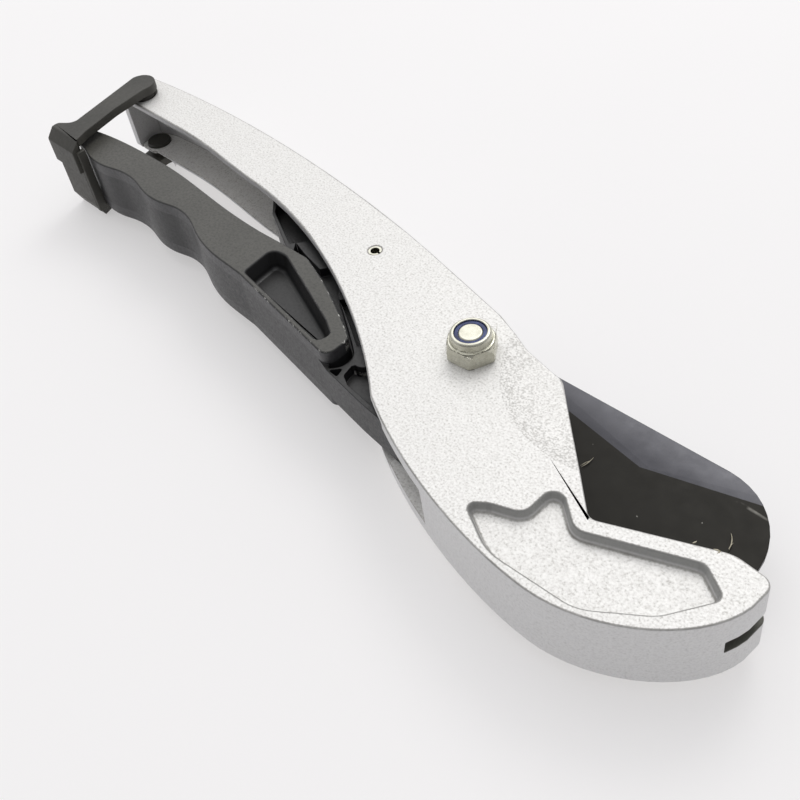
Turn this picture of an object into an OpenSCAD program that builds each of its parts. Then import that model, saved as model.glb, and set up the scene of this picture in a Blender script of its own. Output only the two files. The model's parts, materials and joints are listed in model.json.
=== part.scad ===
// Ratchet cutter for plastic pipe: a die-cast frame with a hooked jaw, a
// squeezing handle, a swinging blade fed by two pawls, and a latch loop that
// holds the handles shut. Millimetres. The tool lies on its side, the jaw
// points along +X, and all three big parts turn on one bolt along Z.

/* [Frame] */
// Thickness of the whole frame, across both cheeks
body_t = 17.5; // [17:0.5:19]
// Thickness of one cheek
cheek_t = 3.35; // [3.2:0.05:3.6]
// Width of the slot that the blade enters
blade_slot_w = 3.2; // [3:0.1:3.4]
// Thickness of the spine that joins the cheeks behind the grip
spine_t = 3; // [2.6:0.1:3.2]
// Thickness of the cheeks along the grip
grip_wall_t = 1.5; // [1.3:0.1:2]
// Depth of the panel sunk in each side of the jaw
panel_depth = 2.2; // [1:0.1:2.5]

/* [Blade] */
// Thickness of the blade steel
blade_t = 2.5; // [2.3:0.1:2.5]
// Radius over the ratchet teeth
tooth_tip_r = 11.5; // [11:0.1:11.6]
// Depth of one ratchet tooth
tooth_depth = 1.3; // [0.8:0.1:1.6]
// Number of ratchet teeth
tooth_count = 11; // [9:1:13]

/* [Handle] */
// Thickness of the grip
grip_t = 17; // [15:0.5:17]
// Thickness of the web that runs between the cheeks
web_t = 10; // [9.6:0.1:10]
// Depth of the pocket in each side of the grip
grip_pocket_depth = 4.6; // [2:0.2:5]

/* [Pivot] */
// Nominal thread diameter of the pivot bolt
bolt_d = 6; // [5.8:0.1:6]
// Width of the lock nut across its flats
nut_af = 10; // [9.8:0.1:10.2]
// Height of the lock nut with its nylon collar
nut_h = 6; // [5.6:0.1:6.4]
// Outer diameter of the sleeve that the blade turns on
bush_d = 8; // [7.6:0.1:8]

/* [Latch] */
// Thickness of each arm of the latch loop
latch_arm_t = 2.5; // [2:0.1:3]
// Height of the boss between a cheek and a latch arm
latch_boss_h = 1.5; // [1.2:0.1:2]

/* [Hidden] */

$fn = 64;
eps = 0.01;
run_fit = 0.05;                        // radial clearance of every turning fit
curve_steps = 16;                      // straight pieces in one curve of an outline
corner_steps = 8;                      // straight pieces in one rounded corner

// Where the pivot bolt stands from the part's origin, which is the middle of
// the underside of the whole tool.
pivot_at = [38.75, 4.73, 12.75];

gap_half = body_t / 2 - cheek_t;       // half the gap between the cheeks
ear_in = blade_t / 2 + 0.2;            // inner face of each handle ear, from the middle
hole_r = bolt_d / 2 + 0.1;
bush_bore_r = bolt_d / 2 + run_fit;
turn_bore_r = bush_d / 2 + run_fit;

// Landmarks of the frame outline
frame_end_x = -155;
frame_step_l = 18;
frame_step_h = 0.3;
grip_inner_y = 14.2;
grip_root = [-22, 16.2];
hub_top = [-3, 12];
hub_front = [7.8, 8];
throat_top = [19.2, 6];
throat_corner = [45.4, -18.2];
seat_end = [69, -8.3];
roll_pin_at = [-41.2, 10.6];
roll_pin_r = 1.6;
roll_pin_in_r = 1.1;
roll_pin_slot_w = 0.6;
feed_pin_at = [-20, -13.5];
feed_pin_r = 1.5;
feed_pin_cover = 1.2;                   // metal left over the pin's inner end
latch_at = [-148.3, 18.6];
peg_r = 3.45;
peg_boss_r = 5;                         // metal kept around the latch peg's bore

// Points of a cubic curve, without its first point
function curve(a, b, c, d, n = curve_steps) =
    [for (i = [1 : n]) let (t = i / n, s = 1 - t)
        s * s * s * a + 3 * s * s * t * b + 3 * s * t * t * c + t * t * t * d];

// Points of a circular arc
function arc(at, r, from, to, n = curve_steps) =
    [for (i = [0 : n]) let (a = from + (to - from) * i / n) at + r * [cos(a), sin(a)]];

function unit(v) = v / norm(v);

// One corner turned into an arc of radius r that touches both sides
function corner(a, p, b, r) =
    let (u = unit(a - p), v = unit(b - p),
         half = acos(u * v) / 2,
         mid = p + unit(u + v) * r / sin(half),
         s = p + u * r / tan(half) - mid,
         e = p + v * r / tan(half) - mid,
         from = atan2(s[1], s[0]),
         turn = ((atan2(e[1], e[0]) - from + 540) % 360) - 180)
    [for (i = [0 : corner_steps]) mid + r * [cos(from + turn * i / corner_steps),
                                             sin(from + turn * i / corner_steps)]];

// An outline whose points are [x, y, corner radius]
function rounded(p) =
    [for (i = [0 : len(p) - 1])
        let (n = len(p), a = p[(i + n - 1) % n], b = p[(i + 1) % n], q = [p[i][0], p[i][1]])
        each (p[i][2] == 0 ? [q] : corner([a[0], a[1]], q, [b[0], b[1]], p[i][2]))];

// A slab of the given outline between two heights
module slab(z0, z1) {
    translate([0, 0, z0])
        linear_extrude(height = z1 - z0)
            children();
}

// The same shape on both sides of the middle plane
module both_sides() {
    children();
    mirror([0, 0, 1])
        children();
}

module ring(r_out, r_in, z0, z1) {
    slab(z0, z1)
        difference() {
            circle(r_out);
            circle(r_in);
        }
}

// ---- frame ---------------------------------------------------------------

// Back of the grip, from its end to the root of the jaw. inset moves it inward.
function back_edge(inset) =
    curve([frame_end_x + 2, 26.2 - inset], [-118, 29.5 - inset],
          [-68, 27 - inset], grip_root - [0, inset]);

// Inner edge of the cheeks, from the hub to the end of the grip
function inner_edge(inset) = concat(
    curve([-8, -22.3 + inset], [-24, -9 + inset], [-56, 9 + inset], [-90, 10.8 + inset]),
    curve([-90, 10.8 + inset], [-104, 12.3 + inset], [-112, grip_inner_y + inset],
          [-128, grip_inner_y + inset]));

frame_outline = concat(
    [[frame_end_x + 0.6, 25.2], [frame_end_x + 2, 26.2]],
    back_edge(0),
    corner(grip_root, hub_top, hub_front, 10),
    corner(hub_top, hub_front, throat_top, 6),
    corner(hub_front, throat_top, throat_corner, 4),
    corner(throat_top, throat_corner, seat_end, 2.5),
    corner(throat_corner, seat_end, [75, -8.7], 8),
    corner(seat_end, [77.5, -8.9], [77.5, -13], 2.5),
    curve([77.5, -13], [77.5, -25], [61, -37], [46, -37]),
    curve([46, -37], [30, -37], [8, -31], [-8, -22.3]),
    inner_edge(0),
    [[frame_end_x + 0.6, grip_inner_y], [frame_end_x, grip_inner_y + 0.8],
     [frame_end_x, 24.4]]);

// Hollow between the cheeks. It is open along the whole inner side, so that
// the handle swings out, and at the back beside the blade hub.
cavity_outline = concat(
    [[-152, 22]],
    [for (p = back_edge(spine_t)) if (p[0] > -150) p],
    [[-20, 14], [-20, 24], [12.4, 24], [12.4, -2],
     [15.2, -13], [15.6, -24], [13.5, -50], [-152, -50]]);

// Strip that the lower cheek lacks: its inner edge stands further back, apart
// from the wall that closes the grip's end
setback = 0.9;
end_wall_x = -151.5;
setback_strip = concat([for (p = inner_edge(setback)) if (p[0] < -50) p],
                       [[end_wall_x, grip_inner_y + setback], [end_wall_x, 0], [-50, 0]]);

// Along the grip the cheeks are hollowed out to thin walls, apart from a boss
// around the pin of the holding pawl.
hollow_half = body_t / 2 - grip_wall_t;
hub_land_r = 21;
pin_boss_r = 5.5;

module grip_hollow() {
    difference() {
        polygon(concat([[-152, 22]],
                       [for (p = back_edge(spine_t)) if (p[0] > -150) p],
                       [[-2, 8], [-2, -50], [-152, -50]]));
        circle(hub_land_r);
        translate(roll_pin_at)
            circle(pin_boss_r);
    }
}

// The slot runs from the hub out through the wall beside the jaw tip.
slot_outline = [[8, 30], [8, -14], [20, -22], [45, -27], [60, -24.6], [74.8, -20.1],
                [84, -17], [84, 30]];

// Sunk panel on the side of the jaw, with a small fin that points at the throat
panel_outline = rounded([[25.6, -29.8, 1.3], [29.4, -27.2, 5], [35.9, -24.8, 3],
                         [35.9, -16.6, 2.2], [39.2, -17.4, 2], [45, -21.9, 3.6],
                         [66.6, -13.2, 2.4], [72.9, -17, 1.6], [66.6, -26.6, 9],
                         [55.5, -34.3, 10], [36, -35.2, 12]]);

module body() color("silver")
    difference() {
        slab(-body_t / 2, body_t / 2)
            polygon(frame_outline);
        slab(-gap_half, gap_half)
            polygon(cavity_outline);
        slab(-hollow_half, hollow_half)
            grip_hollow();
        slab(-body_t, 0)
            difference() {
                polygon(setback_strip);
                translate(latch_at)
                    circle(peg_boss_r);
            }
        slab(-blade_slot_w / 2, blade_slot_w / 2)
            polygon(slot_outline);
        both_sides() {
            slab(body_t / 2 - panel_depth, body_t / 2 + 1)
                polygon(panel_outline);
            throat_dish();
        }
        // Step in the underside, so that the latch arm is clear of the rest face
        translate([frame_end_x - 1, 0, -body_t / 2 - 1])
            cube([frame_step_l + 1, 40, 1 + frame_step_h]);
        bores();
    }

// Shallow dish beside the nut. Its floor falls steeply at the rim and runs out
// flat towards the throat.
dish_at = [31, 17.5];
dish_r = 29.2;
dish_slope_w = 12;
dish_depth = 1.2;
dish_steps = 8;

module throat_dish() {
    floor_line = [for (i = [0 : dish_steps]) let (t = i / dish_steps)
        [dish_r - t * dish_slope_w, -dish_depth * t * (2 - t)]];
    translate([dish_at[0], dish_at[1], body_t / 2])
        rotate_extrude($fn = 128)
            polygon(concat([[0, 1], [dish_r, 1]], floor_line, [[0, -dish_depth]]));
}

module bores() {
    slab(-body_t, body_t)
        circle(hole_r);
    // Countersink for the bolt head in the lower cheek
    translate([0, 0, -body_t / 2 - eps])
        cylinder(r1 = head_r + 0.2, r2 = hole_r, h = head_h + 0.1);
    translate([roll_pin_at[0], roll_pin_at[1], -body_t])
        cylinder(r = roll_pin_r, h = 2 * body_t);
    translate([latch_at[0], latch_at[1], -body_t])
        cylinder(r = peg_r + run_fit, h = 2 * body_t);
    // Blind hole for the fixed leg of the handle spring
    translate([0, spring_mean_r, -gap_half - 1.5])
        cylinder(r = spring_wire_r + run_fit, h = 2);
}

// ---- handle --------------------------------------------------------------

grip_front = [-24.1, -20.5];             // lower corner of the front end

grip_outline = concat(
    // Finger side, from the nose to the front end: two shallow grooves
    [[-149.8, -4.2], [-147, -6], [-143.3, -7.2]],
    curve([-143.3, -7.2], [-139.5, -7.2], [-137.5, -9.4], [-132, -9.4]),
    curve([-132, -9.4], [-126, -9.4], [-125, -7.7], [-119, -7.7]),
    curve([-119, -7.7], [-113, -7.7], [-111, -9.8], [-105, -9.8]),
    curve([-105, -9.8], [-100, -9.8], [-98, -8.2], [-94, -8.4]),
    curve([-94, -8.4], [-86, -8.6], [-84, -13.4], [-70, -14.2]),
    corner([-84, -13.4], [-61.6, -14.6], grip_front, 12),
    corner([-61.6, -14.6], grip_front, [-24.3, -14], 2.4),
    // Palm side, from the front end back to the nose
    corner(grip_front, [-24.2, -13.4], [-33, -8.6], 2.6),
    curve([-25.8, -12.5], [-33, -8.6], [-44, -3.2], [-53, -0.8]),
    [[-61, -0.9], [-70, -1.2]],
    curve([-70, -1.2], [-90, -1.2], [-100, 1.7], [-116, 1.6]),
    curve([-116, 1.6], [-130, 1.5], [-140, 0.8], [-147.4, -0.9]),
    [[-149.8, -2.6]]);

grip_pocket = rounded([[-61.2, -13.4, 1], [-62.2, -3.9, 2.4], [-57.5, -3.4, 4],
                       [-33, -12.6, 6], [-28.6, -15, 1.3], [-29.4, -18.3, 1.6]]);

ear_r = 9.5;                           // radius of the web around the pivot
feed_boss_r = 2.6;
feed_spring_room_r = 3.1;
groove_half_w = 0.7;                   // groove of the handle spring
groove_depth = 1.9;

// Web that runs between the cheeks from a lug behind the grip to the pivot
web_outline = concat(
    [[-64, -6], [-64, 1.2], [-77, 7.6]],
    corner([-77, 7.6], [-83, 13], [-76, 15], 1.5),
    corner([-83, 13], [-72, 15.5], [-56, 8], 3),
    [[-52, 5.6], [-40, 5.2], [-20, 8.5], [-6, ear_r - 1]],
    arc([0, 0], ear_r, 115, -38, 14),
    [[8.2, -10], [5.6, -18]],
    corner([5.6, -18], [3.6, -24.6], [-6, -23.6], 3),
    [[-12, -22.9], [-24, -21.1], [-29, -19.6], [-50, -12]]);

// Lightening pockets in the web. A channel runs round the grip's front end, a
// thin rib follows it, and cells lie beyond the rib.
web_channel = concat(
    [[-63, 3.6], [-58.1, 2.1], [-50.6, 0.5], [-49.4, 2.2], [-44.6, 1.6]],
    curve([-41, -2.6], [-34, -6.8], [-28, -10.4], [-23.6, -13.4]),
    curve([-23.6, -13.4], [-21.4, -15], [-21.2, -18.2], [-24.2, -20.3]),
    [[-30, -14], [-58, -3]]);
web_strip = concat(
    curve([-39.6, -3.4], [-34, -6], [-28.2, -9.4], [-24, -11.8]),
    [[-22.4, -9.8], [-27, -6.8], [-37, -1.6]]);
web_cell = rounded([[-20.6, -16.8, 0.8], [-19.9, -19.8, 1], [-17, -21.2, 1.5],
                    [-5, -22.4, 1], [-2, -17, 2], [-9, -10.4, 2], [-17, -10.6, 1]]);
web_corner = rounded([[-23.8, -20.8, 0.3], [-21.6, -18.4, 0.4], [-20.9, -20.9, 0.3]]);
web_lug_cell = rounded([[-64, 2.4, 0.5], [-60.8, 6.2, 0.8], [-72, 13.6, 2],
                        [-81, 13, 1.2], [-76.8, 8.4, 0.8]]);
web_pocket_depth = 2.4;

// Room in the middle of the web for the blade hub and both pawls
web_slot = concat(
    arc([0, 0], 18.5, -100, 60),
    [[-10, 30], [-60, 30], [-60, 3.4], [-36, 3], [-28.5, -2], [-27.5, -14],
     [-24, -18], [-16, -18.6]]);

module handle() color([0.16, 0.16, 0.17])
    difference() {
        union() {
            slab(-grip_t / 2, grip_t / 2)
                polygon(grip_outline);
            slab(-web_t / 2, web_t / 2)
                polygon(web_outline);
        }
        slab(-ear_in, ear_in)
            polygon(web_slot);
        slab(-body_t, body_t)
            circle(turn_bore_r);
        both_sides() {
            slab(grip_t / 2 - grip_pocket_depth, grip_t)
                polygon(grip_pocket);
            slab(web_t / 2 - web_pocket_depth, web_t / 2 + 0.02)
                web_pockets();
        }
        // The pin's hole is blind, so its end is hidden from above
        translate([feed_pin_at[0], feed_pin_at[1], -web_t / 2 - 1])
            cylinder(r = feed_pin_r, h = web_t + 1 - feed_pin_cover);
        translate([feed_pin_at[0], feed_pin_at[1], 0])
            cylinder(r = feed_spring_room_r, h = ear_in + 1.9);
        translate([feed_pin_at[0] - feed_coil_r, feed_pin_at[1], ear_in])
            cylinder(r = feed_wire_r + run_fit, h = 3.1);
        // Groove for the handle spring in the face of the lower ear
        ring(spring_mean_r + groove_half_w, spring_mean_r - groove_half_w,
             -web_t, -web_t / 2 + groove_depth);
        translate([0, -spring_mean_r, -web_t / 2 + groove_depth - 0.5])
            cylinder(r = spring_wire_r + run_fit, h = 1.8);
    }

module web_pockets() {
    difference() {
        union() {
            polygon(web_channel);
            polygon(web_strip);
            polygon(web_cell);
            polygon(web_corner);
            polygon(web_lug_cell);
        }
        polygon(grip_outline);
        translate(feed_pin_at)
            circle(feed_boss_r);
    }
}

// ---- blade ---------------------------------------------------------------

blade_back_y = 10.6;                   // height of the straight back at the hub
tip_centre = [55.3, -4.4];
tip_r = 16.1;
edge_point = [45, -21];                // where the two cutting edges meet
edge_heel = [22, -16.4];
tip_end_angle = -28;
edge_tip = tip_centre + tip_r * [cos(tip_end_angle), sin(tip_end_angle)];
grind_w = 23;                          // width of the ground bevel
edge_half_t = 0.12;                    // half the thickness left at the edge
teeth_from = 66;
teeth_to = 198;
tooth_step = (teeth_to - teeth_from) / tooth_count;

hub_outline = concat(
    [for (i = [0 : tooth_count - 1]) let (a = teeth_from + i * tooth_step)
        each [(tooth_tip_r - tooth_depth) * [cos(a), sin(a)],
              tooth_tip_r * [cos(a + tooth_step * 0.8), sin(a + tooth_step * 0.8)],
              tooth_tip_r * [cos(a + tooth_step * 0.97), sin(a + tooth_step * 0.97)]]],
    arc([0, 0], tooth_tip_r - 0.2, teeth_to, 300, 12));

blade_outline = concat(
    hub_outline,
    [edge_heel, edge_point],
    arc(tip_centre, tip_r, tip_end_angle, 90, 14),
    [[6.6, blade_back_y], [5.2, 9.2]]);

module blade() color([0.25, 0.25, 0.27])
    difference() {
        slab(-blade_t / 2, blade_t / 2)
            polygon(blade_outline);
        both_sides() {
            bevel(edge_heel, edge_point);
            bevel(edge_point, edge_tip);
        }
        slab(-blade_t, blade_t)
            circle(turn_bore_r);
    }

// Everything above a shallow plane that rises from the edge a-b to the flat
module bevel(a, b) {
    slope = atan((blade_t / 2 - edge_half_t) / grind_w);
    translate([a[0], a[1], edge_half_t])
        rotate([0, 0, atan2(b[1] - a[1], b[0] - a[0])])
            rotate([slope, 0, 0])
                translate([-60, -10, 0])
                    cube([120, 60, 3]);
}

// ---- pivot ---------------------------------------------------------------

spring_mean_r = 6.2;
spring_wire_r = 0.4;
shim_r = 5.2;
helix_steps = 16;                      // rings of the wire in one turn
wire_sides = 8;
coil_gap = 0.06;                       // air between two turns of a coil
nut_hex_h = nut_h * 0.68;
collar_r = 4.4;
lip_h = 0.35;
insert_r = 3.5;
thread_r = bolt_d / 2;
thread_gap = 0.02;                     // radial clearance of the plain thread
bolt_point_h = 0.8;
bolt_end_h = nut_h - 0.2 - bolt_point_h;
bolt_end_r = 2.4;
head_r = 5.7;                          // countersunk head
head_h = 2.7;
socket_r = 2.3;
socket_h = 2.2;
nut_chamfer_h = 0.7;
nut_corner_r = 6.4;                    // beyond the corners, so that only the ends are turned

module pivot_bolt() color([0.75, 0.76, 0.78])
    difference() {
        union() {
            translate([0, 0, -body_t / 2])
                cylinder(r = thread_r, h = body_t + bolt_end_h);
            translate([0, 0, body_t / 2 + bolt_end_h])
                cylinder(r1 = thread_r, r2 = bolt_end_r, h = bolt_point_h);
            translate([0, 0, -body_t / 2 + 0.1])
                cylinder(r1 = head_r, r2 = thread_r, h = head_h);
        }
        // Hexagon socket in the head
        translate([0, 0, -body_t / 2 - 1])
            cylinder(r = socket_r, h = 1 + socket_h, $fn = 6);
    }

module lock_nut() color([0.78, 0.78, 0.76])
    translate([0, 0, body_t / 2])
        difference() {
            union() {
                intersection() {
                    rotate([0, 0, 6])
                        cylinder(d = nut_af / cos(30), h = nut_hex_h, $fn = 6);
                    // Corners turned off at both faces
                    union() {
                        cylinder(r1 = 5.2, r2 = nut_corner_r, h = nut_chamfer_h);
                        translate([0, 0, nut_chamfer_h - eps])
                            cylinder(r1 = nut_corner_r, r2 = 5, h = nut_hex_h - nut_chamfer_h + eps);
                    }
                }
                // Collar, drawn in a little towards its rolled lip
                cylinder(r1 = collar_r + 0.5, r2 = collar_r, h = nut_h - lip_h);
                translate([0, 0, nut_h - lip_h])
                    cylinder(r1 = collar_r, r2 = collar_r - lip_h, h = lip_h);
            }
            translate([0, 0, -1])
                cylinder(r = thread_r + thread_gap, h = nut_h + 2);
            translate([0, 0, nut_hex_h])
                cylinder(r = insert_r, h = nut_h);
        }

module nut_insert() color([0.15, 0.25, 0.65])
    translate([0, 0, body_t / 2])
        difference() {
            slab(nut_hex_h, nut_h - lip_h)
                circle(insert_r);
            // The nylon closes in over the bevelled end of the bolt
            cylinder(r = thread_r + thread_gap, h = bolt_end_h + eps);
            translate([0, 0, bolt_end_h])
                cylinder(r1 = thread_r + thread_gap, r2 = bolt_end_r + thread_gap,
                         h = bolt_point_h);
        }

module pivot_bush() color([0.6, 0.6, 0.62])
    ring(bush_d / 2, bush_bore_r, -gap_half, gap_half);

module shim_washers() color([0.7, 0.7, 0.72])
    both_sides()
        ring(shim_r, turn_bore_r + 0.05, web_t / 2 + 0.06, gap_half);

// Path of a coil that stands on height 0, with a leg along the axis at each end
function coil_path(r, wire_r, turns, leg_down, leg_up) =
    let (pitch = 2 * wire_r + coil_gap, n = turns * helix_steps, end = turns * 360,
         top = wire_r + turns * pitch)
    concat(leg_down > 0 ? [[r, 0, -leg_down], [r, 0, 0]] : [],
           [for (i = [0.3 : n - 0.3])
               let (a = i * 360 / helix_steps)
               [r * cos(a), r * sin(a), wire_r + i * pitch / helix_steps]],
           leg_up > 0 ? [[r * cos(end), r * sin(end), top + wire_r],
                         [r * cos(end), r * sin(end), top + leg_up]] : []);

// Round wire along a path around the Z axis
module wire(path, r) {
    n = len(path);
    rings = [for (i = [0 : n - 1])
        let (way = unit(path[min(i + 1, n - 1)] - path[max(i - 1, 0)]),
             out = [path[i][0], path[i][1], 0],
             side = unit(out - (out * way) * way), up = cross(side, way))
        for (k = [0 : wire_sides - 1])
            let (a = k * 360 / wire_sides) path[i] + r * (cos(a) * side + sin(a) * up)];
    quads = [for (i = [0 : n - 2], k = [0 : wire_sides - 1])
        let (m = (k + 1) % wire_sides, j = i * wire_sides)
        [j + k, j + m, j + m + wire_sides, j + k + wire_sides]];
    ends = [[for (k = [wire_sides - 1 : -1 : 0]) k],
            [for (k = [0 : wire_sides - 1]) (n - 1) * wire_sides + k]];
    polyhedron(rings, concat(quads, ends), convexity = 6);
}

// Opens the handle: one leg in the lower cheek, the other in the lower ear
module handle_spring() color([0.55, 0.56, 0.58])
    translate([0, 0, -gap_half + 0.08])
        rotate([0, 0, 90])
            wire(coil_path(spring_mean_r, spring_wire_r, 1.5, 1.4, 1.6), spring_wire_r);

// ---- pawls ---------------------------------------------------------------

pawl_t = 2.3;
barrel_r = 3.6;
neck_r = 2.4;                          // barrel above the pawl, inside its spring
hold_coil_r = 2.8;
hold_wire_r = 0.3;
feed_coil_r = 2.2;
feed_wire_r = 0.28;

// Slotted spring pin that the holding pawl turns on
module roll_pin() color([0.35, 0.35, 0.36])
    translate([roll_pin_at[0], roll_pin_at[1], 0])
        difference() {
            ring(roll_pin_r, roll_pin_in_r, -body_t / 2 + 0.15, body_t / 2 - 0.15);
            translate([0, -roll_pin_slot_w / 2, -body_t])
                cube([roll_pin_r + 1, roll_pin_slot_w, 2 * body_t]);
        }

hold_outline = [[-39, 8.2], [-10, 8.9], [-6.1, 10.3], [-6.4, 12.1], [-22, 11.2], [-38, 13.2]];

module hold_pawl() color([0.42, 0.42, 0.44])
    difference() {
        union() {
            slab(-pawl_t / 2, pawl_t / 2)
                polygon(hold_outline);
            translate([roll_pin_at[0], roll_pin_at[1], -gap_half + 0.3])
                cylinder(r = barrel_r, h = gap_half - 0.3 + pawl_t / 2);
            translate([roll_pin_at[0], roll_pin_at[1], 0])
                cylinder(r = neck_r, h = gap_half - 0.3);
        }
        translate([roll_pin_at[0], roll_pin_at[1], -body_t])
            cylinder(r = roll_pin_r + run_fit, h = 2 * body_t);
    }

// Presses the holding pawl into the teeth. Its long leg lies over the pawl.
module hold_pawl_spring() color([0.62, 0.63, 0.65])
    translate([roll_pin_at[0], roll_pin_at[1], pawl_t / 2 + 0.1])
        rotate([0, 0, 90])
            wire(concat([[hold_coil_r, -13, hold_wire_r], [hold_coil_r, -0.2, hold_wire_r]],
                        coil_path(hold_coil_r, hold_wire_r, 5, 0, 0)), hold_wire_r);

feed_outline = concat(
    arc(feed_pin_at, 2.9, 150, 345),
    [[-16.9, -9], [-14.8, -2.2], [-11.9, 1.1], [-12.2, 2.9], [-15.6, 4.2], [-19.2, 0.6],
     [-22, -8]]);

module feed_pawl() color([0.42, 0.42, 0.44])
    difference() {
        slab(-pawl_t / 2, pawl_t / 2)
            polygon(feed_outline);
        translate([feed_pin_at[0], feed_pin_at[1], -body_t])
            cylinder(r = feed_pin_r + run_fit, h = 2 * body_t);
        // Blind hole for the spring's leg
        translate([feed_pin_at[0] + feed_coil_r, feed_pin_at[1], 0])
            cylinder(r = feed_wire_r + run_fit, h = body_t);
    }

module feed_pawl_pin() color([0.6, 0.6, 0.62])
    translate([feed_pin_at[0], feed_pin_at[1], -web_t / 2 + 0.1])
        cylinder(r = feed_pin_r, h = web_t - feed_pin_cover - 0.2);

// Presses the feeding pawl into the teeth, one leg in the pawl and one in the ear
module feed_pawl_spring() color([0.62, 0.63, 0.65])
    translate([feed_pin_at[0], feed_pin_at[1], pawl_t / 2 + 0.1])
        wire(coil_path(feed_coil_r, feed_wire_r, 2.5, 0.8, 1.2), feed_wire_r);

// ---- latch ---------------------------------------------------------------

latch_reach_z = body_t / 2 + latch_boss_h;          // inner face of each arm
latch_top_z = latch_reach_z + latch_arm_t;
latch_play = 0.2;                                   // air between a boss and its cheek

latch_boss_r = 3.3;
latch_nub_r = 1;
peg_reach = 0.8;                                    // how far a peg stands in past its cheek
band_outer_y = -11.4;
band_inner_y = -9.6;
band_ends = [-150.8, -138];
tab_y = -12.4;                                      // front of the finger tab
tab_low_z = 3.4;
tab_slope = 42;                                     // degrees from level
tab_slope_h = 2.4;
far_slope = 24;
far_cut_y = -9.4;

// One arm: a round end at the pegs, and a toe that flares out at the band
arm_outline = concat(
    arc(latch_at, 4.4, -20, 172, 14),
    corner(latch_at, [-147.7, -5.2], [-151.6, -7.8], 3),
    corner([-147.7, -5.2], [-151.6, -7.8], [-151, tab_y], 1.6),
    corner([-151.6, -7.8], [-151, tab_y], [-138, tab_y], 0.8),
    corner([-151, tab_y], [-138, tab_y], [-140.5, -5.4], 0.8),
    [[-140.5, -5.4], [-143.1, 6.2]]);

module latch() color([0.13, 0.13, 0.14])
    difference() {
        union() {
            both_sides() {
                slab(latch_reach_z, latch_top_z)
                    polygon(arm_outline);
                translate([latch_at[0], latch_at[1], body_t / 2 + latch_play])
                    cylinder(r = latch_boss_r, h = latch_boss_h - latch_play + eps);
                translate([latch_at[0], latch_at[1], hollow_half - peg_reach])
                    cylinder(r = peg_r, h = peg_reach + grip_wall_t + latch_boss_h / 2);
                // Small nub beside the boss
                translate([latch_at[0] + 2.1, latch_at[1] + 2.5, body_t / 2 + latch_play])
                    cylinder(r = latch_nub_r, h = latch_boss_h - latch_play + eps);
            }
            // Band that passes over the nose of the handle
            slab(-latch_top_z, latch_top_z)
                polygon([[band_ends[0], band_outer_y], [band_ends[0], band_inner_y],
                         [band_ends[1], band_inner_y], [band_ends[1], band_outer_y]]);
            // Finger tab at the upper end of the band
            slab(tab_low_z, latch_top_z)
                polygon([[band_ends[0], tab_y], [band_ends[0], band_outer_y],
                         [band_ends[1], band_outer_y], [band_ends[1], tab_y]]);
        }
        // Slope between the top of the near arm and the front of the tab
        translate([frame_end_x, tab_y, latch_top_z - tab_slope_h])
            rotate([tab_slope, 0, 0])
                cube([30, 10, 5]);
        // The far corner of the loop is cut away at a slope
        translate([frame_end_x, far_cut_y, -latch_top_z])
            rotate([far_slope, 0, 0])
                translate([0, -10, -5])
                    cube([30, 10, 15]);
    }

module placed()
    translate(pivot_at)
        children();

placed() body();
placed() handle();
placed() blade();
placed() latch();
placed() pivot_bolt();
placed() lock_nut();
placed() nut_insert();
placed() pivot_bush();
placed() shim_washers();
placed() handle_spring();
placed() roll_pin();
placed() hold_pawl();
placed() hold_pawl_spring();
placed() feed_pawl();
placed() feed_pawl_pin();
placed() feed_pawl_spring();
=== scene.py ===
"""Looks of the pipe cutter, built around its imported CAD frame. Lengths are in metres."""

import json
import math

import bmesh
import bpy
from mathutils import Matrix, Vector


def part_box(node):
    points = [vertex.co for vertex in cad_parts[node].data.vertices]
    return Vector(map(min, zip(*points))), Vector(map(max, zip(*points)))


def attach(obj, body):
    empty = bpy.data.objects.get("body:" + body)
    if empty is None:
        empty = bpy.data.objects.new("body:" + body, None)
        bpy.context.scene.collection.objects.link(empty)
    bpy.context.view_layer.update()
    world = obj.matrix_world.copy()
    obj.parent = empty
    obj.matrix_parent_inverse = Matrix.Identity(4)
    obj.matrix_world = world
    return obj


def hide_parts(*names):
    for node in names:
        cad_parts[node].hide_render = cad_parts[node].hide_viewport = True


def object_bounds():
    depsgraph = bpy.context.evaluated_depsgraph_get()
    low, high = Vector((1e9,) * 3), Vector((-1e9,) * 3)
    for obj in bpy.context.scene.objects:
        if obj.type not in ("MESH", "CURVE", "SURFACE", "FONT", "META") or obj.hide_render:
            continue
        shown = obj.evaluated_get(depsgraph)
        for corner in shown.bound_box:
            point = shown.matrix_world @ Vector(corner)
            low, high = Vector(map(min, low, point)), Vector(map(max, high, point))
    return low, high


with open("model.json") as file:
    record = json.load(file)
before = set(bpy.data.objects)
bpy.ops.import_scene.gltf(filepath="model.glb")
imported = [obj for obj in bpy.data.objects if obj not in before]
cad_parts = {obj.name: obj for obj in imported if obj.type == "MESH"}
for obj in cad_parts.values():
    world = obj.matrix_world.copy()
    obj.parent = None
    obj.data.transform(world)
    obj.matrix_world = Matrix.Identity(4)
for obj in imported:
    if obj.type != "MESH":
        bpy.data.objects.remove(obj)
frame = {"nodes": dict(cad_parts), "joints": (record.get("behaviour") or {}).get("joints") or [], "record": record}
cad_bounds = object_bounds()

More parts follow.
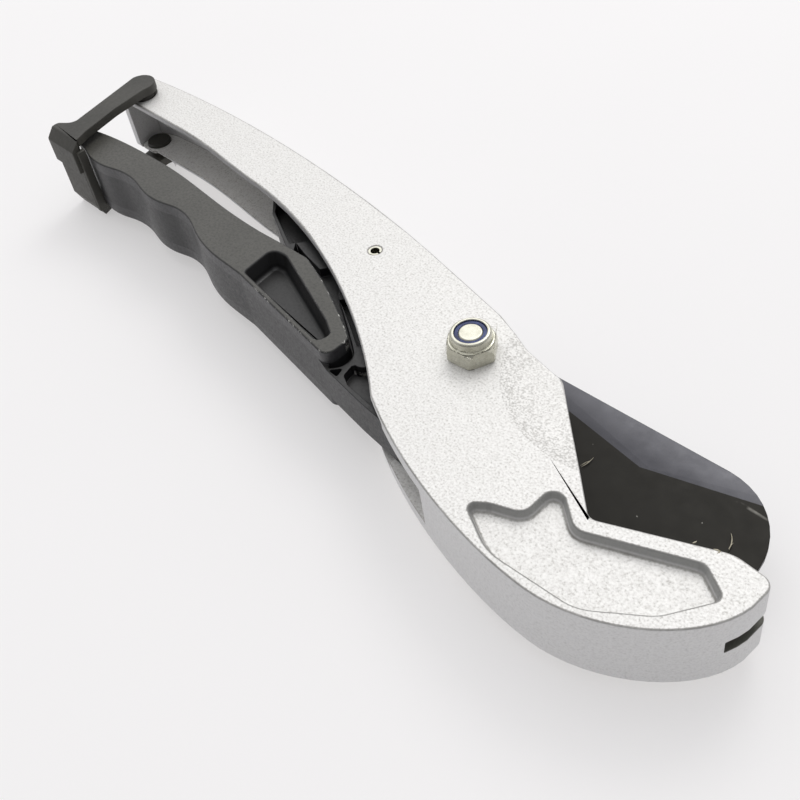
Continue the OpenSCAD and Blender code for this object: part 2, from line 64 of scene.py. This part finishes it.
MM = 0.001
NODES = frame["nodes"]
JOINTS = {j["name"]: j for j in frame["joints"]}
pivot = Vector(JOINTS["handle_pivot"]["pos_m"])
body_low, body_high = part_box("body")
MID_Z = (body_low.z + body_high.z) / 2
TOP_Z = body_high.z
grip_low, grip_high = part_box("handle")
BLADE_TOP_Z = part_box("blade")[1].z
PANEL_DEPTH = 2.2 * MM       # sunk panel of the jaw
POCKET_DEPTH = 4.6 * MM      # sunk pocket of the handle
BLADE_SLOT_HALF = 1.65 * MM  # from the middle plane to the side of the jaw's slot
WEB_HALF = 5.2 * MM          # from the middle plane to the top of the handle's web
PEG_AT = Vector(JOINTS["latch_swing"]["pos_m"]).xy
PEG_RIM_R = 3.7 * MM         # edges this close to a latch peg get no wide rounding
GRIP_END_X = pivot.x - 50 * MM
FLAT_SLACK = 0.02 * MM       # how far a vertex of a level face may be off its height

# The grind line of the blade bends once on its way from the hub to the round end.
GRIND_LINE = [pivot + Vector(p) * MM for p in ((22.2, 4.7, 0), (41.6, 1.9, 0), (63.5, 8.4, 0))]
GRIND_BLUR = 0.4 * MM


# ---- materials -------------------------------------------------------------

class Shade:
    """A node material under construction: small helpers around one node tree."""

    def __init__(self, name, **inputs):
        self.mat = bpy.data.materials.new(name)
        self.mat.use_nodes = True
        self.tree = self.mat.node_tree
        self.bsdf = self.tree.nodes["Principled BSDF"]
        for key, value in inputs.items():
            self.bsdf.inputs[key.replace("_", " ")].default_value = value
        self.place = self.node("ShaderNodeTexCoord").outputs["Object"]

    def node(self, kind, **settings):
        made = self.tree.nodes.new(kind)
        for key, value in settings.items():
            setattr(made, key, value)
        return made

    def link(self, a, b):
        self.tree.links.new(a, b)

    def noise(self, scale, detail=4.0, rough=0.6, stretch=None, turn=0.0):
        """Noise between 0 and 1, at scale features in a metre."""
        tex = self.node("ShaderNodeTexNoise")
        tex.inputs["Scale"].default_value = scale
        tex.inputs["Detail"].default_value = detail
        tex.inputs["Roughness"].default_value = rough
        self.link(self.stretched(stretch, turn) if stretch else self.place, tex.inputs["Vector"])
        return tex.outputs["Fac"]

    def stretched(self, stretch, turn):
        """Coordinates scaled along each axis and turned about Z by so many degrees."""
        mapping = self.node("ShaderNodeMapping")
        mapping.inputs["Scale"].default_value = stretch
        mapping.inputs["Rotation"].default_value = (0, 0, math.radians(turn))
        self.link(self.place, mapping.inputs["Vector"])
        return mapping.outputs["Vector"]

    def grains(self, scale):
        """Distance to the nearest of scattered points, at scale points in a metre."""
        tex = self.node("ShaderNodeTexVoronoi")
        tex.inputs["Scale"].default_value = scale
        self.link(self.place, tex.inputs["Vector"])
        return tex.outputs["Distance"]

    def ramp(self, value, *stops):
        """Colour ramp of (position, colour or grey) stops."""
        made = self.node("ShaderNodeValToRGB")
        elements = made.color_ramp.elements
        while len(elements) < len(stops):
            elements.new(0.5)
        for element, (at, colour) in zip(elements, stops):
            element.position = at
            grey = isinstance(colour, (int, float))
            element.color = (colour, colour, colour, 1) if grey else (*colour, 1)
        self.link(value, made.inputs["Fac"])
        return made.outputs["Color"]

    def mix(self, factor, a, b, mode="MIX"):
        """Mix of two colours. Each of the three is a socket or a value."""
        made = self.node("ShaderNodeMix", data_type="RGBA", blend_type=mode)
        for socket, value in zip((made.inputs[0], made.inputs[6], made.inputs[7]),
                                 (factor, a, b)):
            if isinstance(value, bpy.types.NodeSocket):
                self.link(value, socket)
            else:
                socket.default_value = value if isinstance(value, (int, float)) else (*value, 1)
        return made.outputs[2]

    def math(self, operation, a, b=0.0, clamp=False):
        made = self.node("ShaderNodeMath", operation=operation, use_clamp=clamp)
        for socket, value in zip(made.inputs, (a, b)):
            if isinstance(value, bpy.types.NodeSocket):
                self.link(value, socket)
            else:
                socket.default_value = value
        return made.outputs[0]

    def marked(self, name):
        """Value of one of the marks that the meshes carry: "rounded" or "recess"."""
        return self.node("ShaderNodeAttribute", attribute_name=name).outputs["Fac"]

    def along(self, axis, low, high):
        """Mask that rises from 0 at low to 1 at high along one axis."""
        split = self.node("ShaderNodeSeparateXYZ")
        self.link(self.place, split.inputs[0])
        made = self.node("ShaderNodeMapRange")
        for key, value in (("From Min", low), ("From Max", high)):
            made.inputs[key].default_value = value
        self.link(split.outputs[axis], made.inputs["Value"])
        return made.outputs["Result"]

    def layer(self, half, fade=0.1 * MM):
        """Mask of what lies within half of the middle plane."""
        above = self.along("Z", MID_Z + half, MID_Z + half + fade)
        below = self.along("Z", MID_Z - half, MID_Z - half - fade)
        return self.math("SUBTRACT", 1.0, self.math("MAXIMUM", above, below), clamp=True)

    def up(self, low, high):
        """Mask that is 1 where the surface faces along Z, either way."""
        geometry = self.node("ShaderNodeNewGeometry")
        split = self.node("ShaderNodeSeparateXYZ")
        self.link(geometry.outputs["Normal"], split.inputs[0])
        return self.ramp(self.math("ABSOLUTE", split.outputs["Z"]), (low, 0.0), (high, 1.0))

    def coat(self, colour=None, rough=None, metal=None):
        """Links the given sockets to the surface."""
        for name, value in (("Base Color", colour), ("Roughness", rough), ("Metallic", metal)):
            if value is not None:
                self.link(value, self.bsdf.inputs[name])

    def bump(self, height, distance, strength, below=None):
        """Bump from a height, laid over the bump below it if there is one."""
        made = self.node("ShaderNodeBump")
        made.inputs["Strength"].default_value = strength
        made.inputs["Distance"].default_value = distance
        self.link(height, made.inputs["Height"])
        if below is not None:
            self.link(below, made.inputs["Normal"])
        self.link(made.outputs["Normal"], self.bsdf.inputs["Normal"])
        return made.outputs["Normal"]


def cast_silver():
    """Shot-blasted aluminium with a sandy, near-white coat."""
    s = Shade("cast_silver", Metallic=0.28)
    s.bsdf.inputs["Specular IOR Level"].default_value = 0.35
    sand = s.noise(2100, 2.0, 0.6)
    cloud = s.noise(38, 5.0, 0.65)
    tone = s.ramp(sand, (0.27, (0.58, 0.565, 0.535)), (0.42, (0.77, 0.76, 0.735)),
                  (0.62, (0.87, 0.862, 0.84)))
    tone = s.mix(s.ramp(cloud, (0.45, 0.0), (0.75, 0.14)), tone, (0.70, 0.69, 0.665))
    smudge = s.noise(190, 6.0, 0.75, stretch=(0.35, 1.0, 1.0))
    tone = s.mix(s.ramp(smudge, (0.70, 0.0), (0.80, 0.30)), tone, (0.42, 0.39, 0.35))
    # Rounded edges are darkened in noisy patches: partly grime, partly painted shade for the dark edge lines and
    # the contact shadow along the bottom.
    grime_and_edge_shade = s.math("MULTIPLY", s.marked("rounded"),
                   s.ramp(s.noise(140, 5.0, 0.7), (0.35, 0.5), (0.65, 0.95)))
    tone = s.mix(grime_and_edge_shade, tone, (0.26, 0.25, 0.23))
    flats = s.up(0.35, 0.8)
    # Painted shade: faces that are not level are mixed toward a darker, smoother grey than the tops.
    tone = s.mix(flats, s.mix(0.6, tone, (0.65, 0.65, 0.665)), tone)
    floor_fade = 0.7 * MM
    panel_floor = s.layer(TOP_Z - MID_Z - PANEL_DEPTH + 0.2 * MM, floor_fade)
    recess = s.math("SUBTRACT", s.marked("recess"), panel_floor, clamp=True)
    # Painted shade: the walls of the sunk panels, down to just above their floors, are darkened.
    tone = s.mix(s.math("MULTIPLY", recess, 0.75), tone, (0.26, 0.26, 0.25))
    # Painted shade: gently sloping faces, such as the dish beside the nut, take a darker speckled tone.
    dish = s.math("SUBTRACT", s.up(0.90, 0.95), s.up(0.980, 0.9995), clamp=True)
    speckle = s.mix(s.ramp(sand, (0.42, 1.0), (0.56, 0.0)), (0.72, 0.71, 0.69), (0.34, 0.33, 0.31))
    tone = s.mix(s.math("MULTIPLY", s.math("POWER", dish, 0.5), 0.5), tone, speckle)
    # Painted shade: level faces inside the blade's slot are made near black.
    slot = s.math("MULTIPLY", s.layer(BLADE_SLOT_HALF), flats)
    tone = s.mix(slot, tone, (0.13, 0.13, 0.11))
    rough = s.ramp(sand, (0.3, 0.62), (0.7, 0.46))
    s.coat(tone, rough)
    first = s.bump(sand, 0.10 * MM, 0.7)
    s.bump(s.grains(1700), 0.06 * MM, 0.35, first)
    return s.mat


def cast_black():
    """Satin charcoal paint on a casting, rubbed through to metal along its edges."""
    s = Shade("cast_black", Roughness=0.42)
    grain = s.noise(1500, 3.0, 0.6)
    cloud = s.noise(60, 5.0, 0.6)
    # Painted sheen and shade: level faces take a lighter paint than walls, for the glare the tops catch and the
    # sides miss.
    shaded_wall_paint = s.ramp(cloud, (0.3, (0.040, 0.040, 0.043)), (0.75, (0.056, 0.055, 0.058)))
    sheen_lit_top_paint = s.ramp(cloud, (0.3, (0.064, 0.062, 0.053)), (0.75, (0.088, 0.085, 0.074)))
    paint = s.mix(s.up(0.6, 0.95), shaded_wall_paint, sheen_lit_top_paint)
    paint = s.mix(s.ramp(grain, (0.35, 0.35), (0.55, 0.0)), paint, (0.02, 0.02, 0.02))
    dust = s.ramp(s.noise(700, 5.0, 0.7), (0.60, 0.0), (0.78, 0.35))
    paint = s.mix(dust, paint, (0.13, 0.125, 0.115))
    paint = s.mix(s.math("MULTIPLY", s.marked("rounded"), 0.8), paint, (0.022, 0.022, 0.021))
    web = s.layer(WEB_HALF)
    # Painted shade: the web between the cheeks, within WEB_HALF of the middle plane, is made near black.
    paint = s.mix(s.math("MULTIPLY", web, 0.85), paint, (0.010, 0.010, 0.011))
    # Painted shade: the walls of the sunk pocket are darkened.
    paint = s.mix(s.math("MULTIPLY", s.marked("recess"), 0.7), paint, (0.014, 0.014, 0.014))
    sunk = s.math("MAXIMUM", web, s.marked("recess"))
    near_hub = s.along("X", GRIP_END_X - 10 * MM, GRIP_END_X)
    rubbed = s.math("SUBTRACT", near_hub, sunk, clamp=True)
    chips = s.math("MULTIPLY", s.math("MULTIPLY", s.marked("rounded"), rubbed),
                   s.ramp(s.noise(520, 6.0, 0.8), (0.545, 0.0), (0.585, 0.9)))
    s.coat(s.mix(chips, paint, (0.72, 0.71, 0.67)),
           s.ramp(grain, (0.3, 0.50), (0.7, 0.34)), chips)
    s.bump(grain, 0.07 * MM, 0.45)
    return s.mat


def black_plastic():
    """Moulded black plastic with a fine dull grain."""
    s = Shade("black_plastic", Roughness=0.55)
    grain = s.noise(1100, 4.0, 0.6)
    cloud = s.noise(90, 4.0, 0.6)
    s.coat(s.ramp(cloud, (0.3, (0.038, 0.037, 0.031)), (0.8, (0.062, 0.059, 0.050))),
           s.ramp(grain, (0.3, 0.62), (0.7, 0.46)))
    s.bump(grain, 0.07 * MM, 0.5)
    return s.mat


def blade_steel(grind):
    """Dark coated steel: grey flat, near-black ground bevel, long fine scratches."""
    s = Shade("blade_steel", Metallic=0.6, Roughness=0.3, Specular_IOR_Level=0.2)
    cloud = s.noise(30, 3.0, 0.5)
    flat = s.ramp(cloud, (0.2, (0.036, 0.036, 0.042)), (0.8, (0.046, 0.046, 0.052)))
    ground = s.ramp(cloud, (0.2, (0.010, 0.0095, 0.008)), (0.8, (0.013, 0.012, 0.010)))
    # Painted reflection: the flat grows lighter towards the back edge.
    painted_sheen = s.math("MULTIPLY", s.along("Y", pivot.y + 4 * MM, pivot.y + 10.6 * MM), 0.6)
    flat = s.mix(painted_sheen, flat, (0.115, 0.115, 0.125))
    tone = s.mix(s.ramp(grind(s), (0.47, 0.0), (0.53, 1.0)), flat, ground)
    streak = s.noise(260, 2.0, 0.5, stretch=(0.05, 1.0, 1.0), turn=52)
    lines = s.ramp(streak, (0.66, 0.0), (0.70, 1.0))
    broken = s.math("MULTIPLY", lines, s.ramp(s.noise(70), (0.5, 0.0), (0.62, 0.6)))
    speck = s.ramp(s.noise(420, 2.0, 0.5), (0.76, 0.0), (0.79, 1.0))
    marks = s.math("MAXIMUM", broken, speck)
    s.coat(s.mix(marks, tone, (0.36, 0.35, 0.32)), s.ramp(s.noise(300), (0.3, 0.42), (0.7, 0.30)))
    s.bump(streak, 0.03 * MM, 0.4)
    return s.mat


def plated(name, low, high, rough, scale=800):
    """Metal with a slightly uneven plated or drawn finish, from the low to the high tone."""
    s = Shade(name, Metallic=1.0, Roughness=rough)
    cloud = s.noise(240, 5.0, 0.65)
    s.coat(s.ramp(cloud, (0.3, low), (0.7, high)),
           s.ramp(s.noise(scale), (0.3, rough + 0.12), (0.7, max(0.08, rough - 0.08))))
    s.bump(s.noise(scale * 1.4), 0.04 * MM, 0.4)
    return s.mat


def glossy_nylon():
    """Deep blue nylon with a soft shine."""
    s = Shade("blue_nylon", Roughness=0.25, Subsurface_Weight=0.05)
    s.coat(s.ramp(s.noise(300), (0.35, (0.007, 0.015, 0.08)), (0.65, (0.03, 0.055, 0.20))))
    s.bump(s.noise(1600), 0.04 * MM, 0.4)
    return s.mat


def shavings_plastic():
    """Pale, dusty crumbs of the pipe that was cut."""
    s = Shade("shavings", Roughness=0.7)
    s.coat(s.ramp(s.noise(1500), (0.3, (0.42, 0.38, 0.27)), (0.7, (0.62, 0.57, 0.45))))
    s.bump(s.noise(2500), 0.04 * MM, 0.5)
    return s.mat


def below_grind(s):
    """Mask of the ground part of the blade: below both straight lines."""
    masks = []
    for a, b in zip(GRIND_LINE, GRIND_LINE[1:]):
        along = (b - a).normalized()
        across = Vector((along.y, -along.x, 0))
        dot = s.node("ShaderNodeVectorMath", operation="DOT_PRODUCT")
        s.link(s.place, dot.inputs[0])
        dot.inputs[1].default_value = across
        side = s.math("SUBTRACT", dot.outputs["Value"], across.dot(a))
        masks.append(s.math("ADD", s.math("MULTIPLY", side, 1 / GRIND_BLUR), 0.5, clamp=True))
    return s.math("MAXIMUM", *masks)


materials = {
    "cast_silver": cast_silver(),
    "cast_black": cast_black(),
    "black_plastic": black_plastic(),
    "blade_steel": blade_steel(below_grind),
    "zinc_steel": plated("zinc_steel", (0.46, 0.45, 0.37), (0.70, 0.69, 0.60), 0.24),
    "blue_nylon": glossy_nylon(),
    "shavings": shavings_plastic(),
    "pawl_steel": plated("pawl_steel", (0.16, 0.16, 0.16), (0.30, 0.29, 0.28), 0.38),
    "spring_steel": plated("spring_steel", (0.42, 0.41, 0.39), (0.60, 0.59, 0.56), 0.3),
}
slot_of = {p["node"]: p["material_slot"] for p in frame["record"]["subparts"]}


def dress(obj, slot, look=None):
    """Gives a piece the material named by look, or else the one named by its slot."""
    obj.data.materials.clear()
    obj.data.materials.append(materials[look or slot])


# ---- meshes ----------------------------------------------------------------

def piece(name, bm, body, slot, *nodes, look=None):
    """A finished mesh that rides on a body and stands for CAD nodes."""
    mesh = bpy.data.meshes.new(name)
    bm.to_mesh(mesh)
    bm.free()
    obj = bpy.data.objects.new(name, mesh)
    bpy.context.scene.collection.objects.link(obj)
    for polygon in mesh.polygons:
        polygon.use_smooth = True
    dress(obj, slot, look)
    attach(obj, body)
    if nodes:
        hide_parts(*nodes)
    return obj


def from_cad(node):
    """The CAD node's shape as a clean mesh, its flat faces whole again."""
    bm = bmesh.new()
    bm.from_mesh(NODES[node].data)
    bmesh.ops.remove_doubles(bm, verts=bm.verts, dist=0.002 * MM)
    bmesh.ops.dissolve_limit(bm, angle_limit=math.radians(0.6), verts=bm.verts, edges=bm.edges)
    bm.normal_update()
    return bm


def fold(edge):
    """Signed angle of an edge in degrees: positive on an outer edge."""
    return math.degrees(edge.calc_face_angle_signed(0.0)) if len(edge.link_faces) == 2 else 0.0


def soften(obj, radius_of, segments=3, least=24):
    """Rounds the edges that fold by more than least, each to the radius that radius_of gives."""
    mesh = obj.data
    bm = bmesh.new()
    bm.from_mesh(mesh)
    layer = bm.edges.layers.float.get("bevel_weight_edge") or bm.edges.layers.float.new(
        "bevel_weight_edge")
    for edge in bm.edges:
        angle = fold(edge)
        if abs(angle) > least:
            edge[layer] = radius_of(edge, angle) / MM
    bm.to_mesh(mesh)
    bm.free()
    bevel = obj.modifiers.new("rounding", "BEVEL")
    bevel.limit_method = "WEIGHT"
    bevel.width = MM
    bevel.segments = segments
    bevel.use_clamp_overlap = False
    bevel.harden_normals = False
    bevel.miter_outer = "MITER_ARC"
    apply_modifiers(obj)
    mark_rounded(obj)
    shade(obj)


def narrow(face, width=0.4 * MM):
    """Whether a face is a strip thinner than width."""
    return face.calc_area() < width * max(edge.calc_length() for edge in face.edges)


def mark_rounded(obj):
    """Gives each vertex inside a rounded edge the value 1 in the attribute "rounded"."""
    bm = bmesh.new()
    bm.from_mesh(obj.data)
    layer = bm.verts.layers.float.new("rounded")
    for vert in bm.verts:
        vert[layer] = 1.0 if all(narrow(face) for face in vert.link_faces) else 0.0
    bm.to_mesh(obj.data)
    bm.free()


def shade(obj):
    """Smooth shading that keeps flat faces flat, and level ones exactly level."""
    level = 0.99995  # least upright part of a level face's normal
    for polygon in obj.data.polygons:
        polygon.use_smooth = abs(polygon.normal.z) < level
    weighted = obj.modifiers.new("flats", "WEIGHTED_NORMAL")
    weighted.keep_sharp = True
    weighted.weight = 100
    apply_modifiers(obj)


def apply_modifiers(obj):
    """Puts the result of the piece's modifiers into its mesh."""
    bpy.context.view_layer.update()
    evaluated = obj.evaluated_get(bpy.context.evaluated_depsgraph_get())
    mesh = bpy.data.meshes.new_from_object(evaluated)
    obj.modifiers.clear()
    obj.data = mesh


def mark_recess(obj, floor, rim):
    """Gives the walls of a sunk panel, between its floor and its rim, the mark "recess"."""
    bm = bmesh.new()
    bm.from_mesh(obj.data)
    layer = bm.verts.layers.float.get("recess") or bm.verts.layers.float.new("recess")
    low, high = sorted((floor, rim))
    found = [v for v in bm.verts if abs(v.co.z - floor) < FLAT_SLACK]
    seen = set(found)
    while found:
        for edge in found.pop().link_edges:
            for vert in edge.verts:
                if vert not in seen and low + 0.03 * MM < vert.co.z < high - 0.03 * MM:
                    seen.add(vert)
                    found.append(vert)
                    vert[layer] = 1.0
    bm.to_mesh(obj.data)
    bm.free()


def at_height(edge, z, slack=0.05 * MM):
    """Whether both ends of an edge lie at height z."""
    return all(abs(v.co.z - z) < slack for v in edge.verts)


def draft(bm, z, amount):
    """Moves the outline of each flat floor at height z inward, so that its walls lean."""
    moves = {}
    for face in bm.faces:
        if abs(face.normal.z) < 0.99 or any(abs(v.co.z - z) > FLAT_SLACK for v in face.verts):
            continue
        for loop in face.loops:
            before = loop.vert.co - loop.link_loop_prev.vert.co
            after = loop.link_loop_next.vert.co - loop.vert.co
            inward = [face.normal.cross(d).normalized() for d in (before, after)]
            share = max(0.3, 1 + inward[0].dot(inward[1]))
            moves[loop.vert] = (inward[0] + inward[1]) * amount / share
    for vert, move in moves.items():
        vert.co += move


def build_body():
    """The frame. Its outline is rounded more along the grip than round the hub and the jaw."""
    bm = from_cad("body")
    floors = (TOP_Z - PANEL_DEPTH, body_low.z + PANEL_DEPTH)
    for z in floors:
        draft(bm, z, 0.5 * MM)
    obj = piece("frame_casting", bm, "frame", "cast_silver", "body")

    def radius(edge, angle):
        at = edge.verts[0].co
        grip = at.x < GRIP_END_X and (at.xy - PEG_AT).length > PEG_RIM_R
        if any(at_height(edge, z) for z in floors):
            return 0.5 * MM
        if at_height(edge, TOP_Z):
            return 0.6 * MM if grip else 0.4 * MM
        if at_height(edge, body_low.z, 0.35 * MM):
            return 1.0 * MM if grip else 0.4 * MM
        return 0.2 * MM

    soften(obj, radius)
    mark_recess(obj, floors[0], TOP_Z)
    mark_recess(obj, floors[1], body_low.z)


def build_handle():
    """The moving grip, with leaning walls in its pocket."""
    bm = from_cad("handle")
    floors = (grip_high.z - POCKET_DEPTH, grip_low.z + POCKET_DEPTH)
    for z in floors:
        draft(bm, z, 0.9 * MM)
    obj = piece("handle_casting", bm, "handle", "cast_black", "handle")

    def radius(edge, angle):
        if any(at_height(edge, z) for z in floors):
            return 0.8 * MM
        if at_height(edge, grip_high.z) or at_height(edge, grip_low.z):
            return 0.4 * MM
        return 0.15 * MM

    soften(obj, radius)
    mark_recess(obj, floors[0], grip_high.z)
    mark_recess(obj, floors[1], grip_low.z)


def block(bm, low, high):
    """An upright block between two opposite corners."""
    made = bmesh.ops.create_cube(bm, size=1.0)
    for vert in made["verts"]:
        vert.co = Vector(b if c > 0 else a for a, b, c in zip(low, high, vert.co))


def build_latch():
    """The latch loop, with a lip inside its band that lies close along the grip."""
    bm = from_cad("latch")
    lip_low = (pivot.x - 138.6 * MM, pivot.y - 11.3 * MM, grip_low.z - 1.2 * MM)
    lip_high = (pivot.x - 137.1 * MM, pivot.y - 8.8 * MM, grip_high.z + 1.5 * MM)
    block(bm, lip_low, lip_high)
    obj = piece("latch_loop", bm, "latch", slot_of["latch"], "latch")
    soften(obj, lambda edge, angle: 0.25 * MM if angle > 0 else 0.0, segments=2)


def build_simple(node, name, body, radius):
    """A CAD node's shape with all its edges rounded alike."""
    obj = piece(name, from_cad(node), body, slot_of[node], node)
    soften(obj, lambda edge, angle: radius)


def curl(bm, at, heading, length, width, bow):
    """A thin curled shaving: a tapering four-sided strip along a flat arc."""
    steps = 8
    rings = []
    for i in range(steps + 1):
        t = i / steps
        near_end = abs(2 * t - 1)  # 0 in the middle of the strip, 1 at both ends
        turn = heading + bow * (t - 0.5)
        spot = Vector(at) + Vector((math.cos(turn), math.sin(turn), 0)) * length * (t - 0.5)
        side = Vector((-math.sin(turn), math.cos(turn), 0)) * width * (1 - 0.7 * near_end)
        rise = Vector((0, 0, width * 0.45 * (1 - 0.6 * near_end)))
        rings.append([bm.verts.new(spot + offset) for offset in
                      (side, rise, -side, -0.3 * rise)])
    for a, b in zip(rings, rings[1:]):
        for k in range(4):
            bm.faces.new((a[k], a[(k + 1) % 4], b[(k + 1) % 4], b[k]))
    bm.faces.new(reversed(rings[0]))
    bm.faces.new(rings[-1])


def build_shavings(name, body, z, slot, spots):
    """Crumbs of cut pipe that cling to one surface at height z."""
    bm = bmesh.new()
    for x, y, heading, length, width, bow in spots:
        curl(bm, (pivot.x + x * MM, pivot.y + y * MM, z), math.radians(heading),
             length * MM, width * MM, bow)
    bmesh.ops.recalc_face_normals(bm, faces=bm.faces)
    piece(name, bm, body, slot, look="shavings")


build_body()
build_handle()
build_latch()
build_simple("blade", "cutting_blade", "blade", 0.12 * MM)
build_simple("lock_nut", "locking_nut", "frame", 0.15 * MM)
build_simple("pivot_bolt", "pivot_screw", "frame", 0.12 * MM)
build_simple("nut_insert", "nylon_ring", "frame", 0.2 * MM)

# Each crumb: x and y from the bolt, heading, length, width and bow. Lengths are in mm, the
# heading is in degrees and the bow in radians.
build_shavings("shavings_on_blade", "blade", BLADE_TOP_Z, "blade_steel", (
    (33.3, -3.5, 84, 3.4, 0.10, 0.2), (32.9, -3.9, 72, 2.4, 0.08, -0.15),
    (64.7, -1.6, 117, 3.6, 0.12, 0.4), (65.1, -2.6, 100, 1.8, 0.1, -0.3)))
build_shavings("shavings_on_jaw", "frame", TOP_Z, "cast_silver", (
    (62.6, -10.6, 70, 0.9, 0.16, 0.3), (66.4, -9.5, 16, 1.3, 0.18, -0.3),
    (66.9, -9.7, 80, 0.8, 0.15, 0.2)))

replaced = {"body", "handle", "latch", "blade", "lock_nut", "pivot_bolt", "nut_insert"}
for node_name, node_object in NODES.items():
    if node_name not in replaced:
        dress(node_object, slot_of[node_name])


# ---- floor, light and camera -------------------------------------------------

def build_floor():
    """A pale floor just under the tool. It glows a little, as a lit paper backdrop does."""
    s = Shade("studio_floor", Roughness=0.75, Emission_Strength=0.44)
    s.bsdf.inputs["Emission Color"].default_value = (1.0, 0.985, 0.985, 1)
    s.coat(s.ramp(s.noise(3.0, 3.0), (0.3, (0.46, 0.455, 0.455)), (0.7, (0.49, 0.485, 0.485))))
    bm = bmesh.new()
    bmesh.ops.create_grid(bm, x_segments=8, y_segments=8, size=3.0)
    mesh = bpy.data.meshes.new("floor")
    bm.to_mesh(mesh)
    bm.free()
    obj = bpy.data.objects.new("floor", mesh)
    bpy.context.scene.collection.objects.link(obj)
    obj.location = (cad_bounds[0].x, 0, cad_bounds[0].z - 0.1 * MM)
    mesh.materials.append(s.mat)


def area_light(name, at, aim, size, power, colour):
    """A round soft light at one point that faces another."""
    light = bpy.data.lights.new(name, "AREA")
    light.shape = "DISK"
    light.size = size
    light.energy = power
    light.color = colour
    obj = bpy.data.objects.new(name, light)
    bpy.context.scene.collection.objects.link(obj)
    obj.location = at
    obj.rotation_mode = "QUATERNION"
    obj.rotation_quaternion = (Vector(aim) - Vector(at)).to_track_quat("-Z", "Y")


def build_lights():
    """A broad soft source overhead and a smaller one behind the tool. Little comes from the
    camera's side, so walls that face it live on what the floor gives back."""
    aim = (0, 0, MID_Z)
    area_light("overhead", (-0.45, 0.45, 1.15), aim, 1.5, 4.0, (1.0, 0.995, 0.985))
    area_light("key", (-0.20, 0.75, 0.90), aim, 0.6, 2.6, (1.0, 0.99, 0.975))
    bpy.context.scene.view_settings.view_transform = "Standard"


def build_world():
    """Surroundings that are bright overhead and behind the tool, and dim on the near side."""
    bright_way = (-0.45, 0.45, 0.77)
    world = bpy.data.worlds.new("studio")
    bpy.context.scene.world = world
    world.use_nodes = True
    tree = world.node_tree
    background = tree.nodes["Background"]
    background.inputs["Color"].default_value = (0.98, 0.98, 1.0, 1)
    dot = tree.nodes.new("ShaderNodeVectorMath")
    dot.operation = "DOT_PRODUCT"
    dot.inputs[1].default_value = bright_way
    tree.links.new(tree.nodes.new("ShaderNodeTexCoord").outputs["Generated"], dot.inputs[0])
    strength = tree.nodes.new("ShaderNodeMapRange")
    for key, value in (("From Min", -0.3), ("From Max", 0.9), ("To Min", 0.22), ("To Max", 0.88)):
        strength.inputs[key].default_value = value
    tree.links.new(dot.outputs["Value"], strength.inputs["Value"])
    tree.links.new(strength.outputs["Result"], background.inputs["Strength"])


def build_camera():
    """The camera stands near the jaw and looks down along the tool. Its axes and its place
    come from the outlines and the nut's hexagon in the photograph."""
    data = bpy.data.cameras.new("camera")
    data.lens = 49.5
    data.sensor_width = 36
    data.clip_start = 0.01
    obj = bpy.data.objects.new("camera", data)
    bpy.context.scene.collection.objects.link(obj)
    right = Vector((0.6938, 0.7076, -0.1319))
    up = Vector((-0.4581, 0.5753, 0.6774))
    back = Vector((0.5554, -0.4096, 0.7236))
    turn = Matrix((right, up, back)).transposed().to_4x4()
    eye = Vector((pivot.x, pivot.y, MID_Z)) + Vector((121.8, -110.8, 170.35)) * MM
    obj.matrix_world = Matrix.Translation(eye) @ turn
    bpy.context.scene.camera = obj


build_floor()
build_lights()
build_world()
build_camera()
